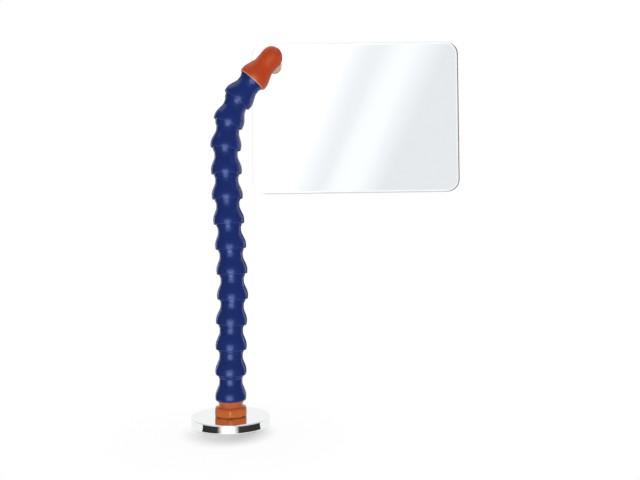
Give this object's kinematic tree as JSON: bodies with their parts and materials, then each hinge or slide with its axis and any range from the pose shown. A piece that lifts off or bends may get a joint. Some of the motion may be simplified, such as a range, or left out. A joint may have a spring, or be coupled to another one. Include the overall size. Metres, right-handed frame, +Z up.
{
  "type": "flexible-arm clear shield",
  "caption": "Clear rectangular shield plate carried by a flexible ball-and-socket arm on a round magnetic base; the arm bends by hand and stays where it is put.",
  "frame": {"origin": "centre of the magnetic base's underside, on the plane of the cup's rim", "axes": "+Z up along the arm, +X from the base towards the plate, the plate hanging behind the arm on its +Y side"},
  "size_m": [0.2653, 0.0762, 0.3795],
  "materials": {
    "chrome_plate": "bright chrome plate on turned steel",
    "ferrite": "sintered ferrite, ground face",
    "zinc_steel": "zinc-plated steel",
    "orange_acetal": "moulded acetal, satin gloss",
    "blue_acetal": "moulded acetal, satin gloss",
    "clear_polycarbonate": "clear polished sheet, transparent",
    "natural_nylon": "moulded nylon, matt"
  },
  "bodies": {
    "base": {"magnet_cup": "chrome_plate", "ring_magnet": "ferrite", "base_screw": "zinc_steel", "lock_washer": "zinc_steel", "base_connector": "orange_acetal"},
    "segment_01": {"arm_segment_01": "blue_acetal"},
    "segment_02": {"arm_segment_02": "blue_acetal"},
    "segment_03": {"arm_segment_03": "blue_acetal"},
    "segment_04": {"arm_segment_04": "blue_acetal"},
    "segment_05": {"arm_segment_05": "blue_acetal"},
    "segment_06": {"arm_segment_06": "blue_acetal"},
    "segment_07": {"arm_segment_07": "blue_acetal"},
    "segment_08": {"arm_segment_08": "blue_acetal"},
    "segment_09": {"arm_segment_09": "blue_acetal"},
    "segment_10": {"arm_segment_10": "blue_acetal"},
    "segment_11": {"arm_segment_11": "blue_acetal"},
    "segment_12": {"arm_segment_12": "blue_acetal"},
    "segment_13": {"arm_segment_13": "blue_acetal"},
    "head": {"head_elbow": "orange_acetal", "front_washer": "natural_nylon", "back_washer": "natural_nylon", "cap_nut": "orange_acetal"},
    "shield": {"shield_plate": "clear_polycarbonate"}
  },
  "joints": [
    {"name": "ball_joint_01", "type": "hinge", "parent": "base", "child": "segment_01", "pos_m": [0, 0, 0.026], "axis": [0, 0, 1], "continuous": true},
    {"name": "ball_joint_02", "type": "hinge", "parent": "segment_01", "child": "segment_02", "pos_m": [0, 0, 0.0504], "axis": [0, 1, 0], "range_deg": [-18.5, 17.5]},
    {"name": "ball_joint_03", "type": "hinge", "parent": "segment_02", "child": "segment_03", "pos_m": [0.00021, 0, 0.0748], "axis": [1, 0, -0.0087], "range_deg": [-18, 18]},
    {"name": "ball_joint_04", "type": "hinge", "parent": "segment_03", "child": "segment_04", "pos_m": [0.00043, 0, 0.0992], "axis": [0, -1, 0], "range_deg": [-16, 20]},
    {"name": "ball_joint_05", "type": "hinge", "parent": "segment_04", "child": "segment_05", "pos_m": [0.00149, 0, 0.12358], "axis": [-0.999, 0, 0.0436], "range_deg": [-17.5, 17.5]},
    {"name": "ball_joint_06", "type": "hinge", "parent": "segment_05", "child": "segment_06", "pos_m": [0.00085, 0, 0.14797], "axis": [0, 1, 0], "range_deg": [-16.5, 19.5]},
    {"name": "ball_joint_07", "type": "hinge", "parent": "segment_06", "child": "segment_07", "pos_m": [-0.00043, 0, 0.17233], "axis": [0.9986, 0, 0.0523], "range_deg": [-17.5, 17.5]},
    {"name": "ball_joint_08", "type": "hinge", "parent": "segment_07", "child": "segment_08", "pos_m": [-0.00234, 0, 0.19666], "axis": [0, -1, 0], "range_deg": [-17, 19]},
    {"name": "ball_joint_09", "type": "hinge", "parent": "segment_08", "child": "segment_09", "pos_m": [-0.00383, 0, 0.22101], "axis": [-0.9981, 0, -0.061], "range_deg": [-17.5, 17.5]},
    {"name": "ball_joint_10", "type": "hinge", "parent": "segment_09", "child": "segment_10", "pos_m": [-0.00468, 0, 0.2454], "axis": [0, 1, 0], "range_deg": [-18.5, 17.5]},
    {"name": "ball_joint_11", "type": "hinge", "parent": "segment_10", "child": "segment_11", "pos_m": [-0.00532, 0, 0.26979], "axis": [0.9997, 0, 0.0262], "range_deg": [-16, 16]},
    {"name": "ball_joint_12", "type": "hinge", "parent": "segment_11", "child": "segment_12", "pos_m": [-0.00256, 0, 0.29403], "axis": [0, -1, 0], "range_deg": [-2, 34]},
    {"name": "ball_joint_13", "type": "hinge", "parent": "segment_12", "child": "segment_13", "pos_m": [0.00678, 0, 0.31658], "axis": [-0.9239, 0, 0.3827], "range_deg": [-9, 9]},
    {"name": "ball_joint_14", "type": "hinge", "parent": "segment_13", "child": "head", "pos_m": [0.0218, 0, 0.3358], "axis": [0, 1, 0], "range_deg": [-20, 16]},
    {"name": "shield_swivel", "type": "hinge", "parent": "head", "child": "shield", "pos_m": [0.03916, 0.027, 0.35649], "axis": [0, 1, 0], "continuous": true}
  ]
}
